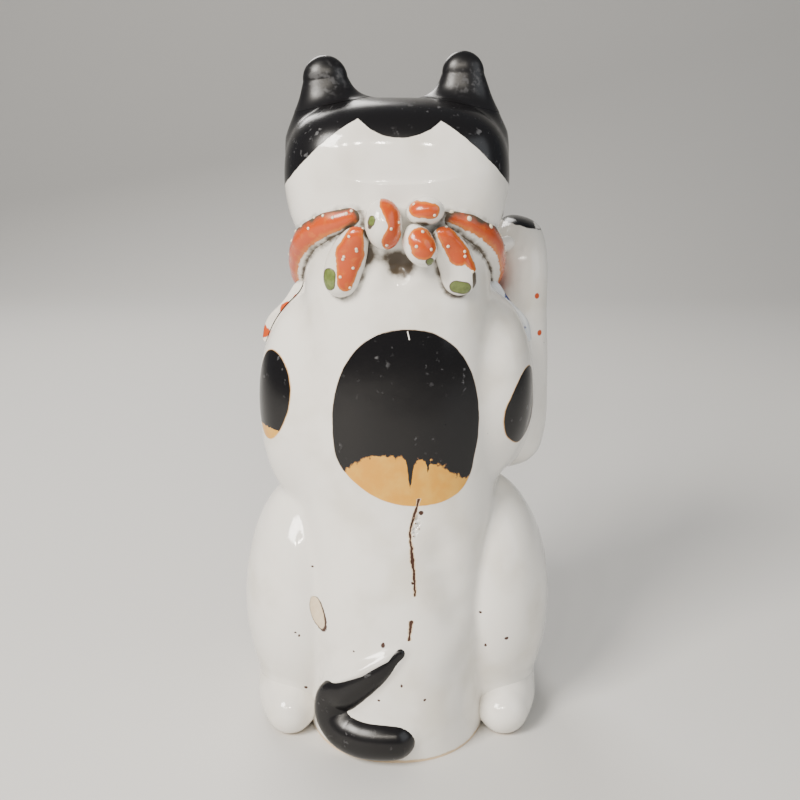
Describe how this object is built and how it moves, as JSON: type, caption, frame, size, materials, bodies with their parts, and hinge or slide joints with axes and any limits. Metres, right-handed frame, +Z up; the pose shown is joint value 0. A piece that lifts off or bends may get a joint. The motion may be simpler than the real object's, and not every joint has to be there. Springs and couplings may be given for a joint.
{
  "type": "beckoning cat figurine",
  "caption": "Seated glazed porcelain cat with one forepaw raised, tied scarf, bib and bell; hollow moulded body that stands on a flat foot.",
  "frame": {"origin": "middle of the flat foot that the figure stands on, on the floor plane", "axes": "+Z up, the face looks along -Y, the raised right forepaw is on the -X side"},
  "size_m": [0.1214, 0.1082, 0.251],
  "materials": {
    "white_glaze": "glossy",
    "black_glaze": "glossy",
    "orange_enamel": "satin",
    "blue_enamel": "satin",
    "gold_lustre": "satin",
    "bare_clay": "matt"
  },
  "bodies": {
    "root": {"body_back_shell": "white_glaze", "body_front_shell": "white_glaze", "head_back_shell": "white_glaze", "head_front_shell": "white_glaze", "bib_frill_left": "white_glaze", "raised_foreleg": "white_glaze", "paw_strut": "white_glaze", "standing_foreleg": "white_glaze", "hind_paw_left": "white_glaze", "hind_paw_right": "white_glaze", "ear_left": "black_glaze", "ear_right": "black_glaze", "tail": "black_glaze", "scarf_band_left": "orange_enamel", "scarf_band_right": "orange_enamel", "scarf_knot": "orange_enamel", "bow_loop_lower": "orange_enamel", "bow_loop_upper": "orange_enamel", "bow_end_left": "orange_enamel", "bow_end_right": "orange_enamel", "bib_left": "orange_enamel", "bib_right": "blue_enamel", "bib_frill_right": "blue_enamel", "bell": "gold_lustre", "bell_loop": "gold_lustre", "base_slab": "bare_clay"}
  },
  "joints": []
}
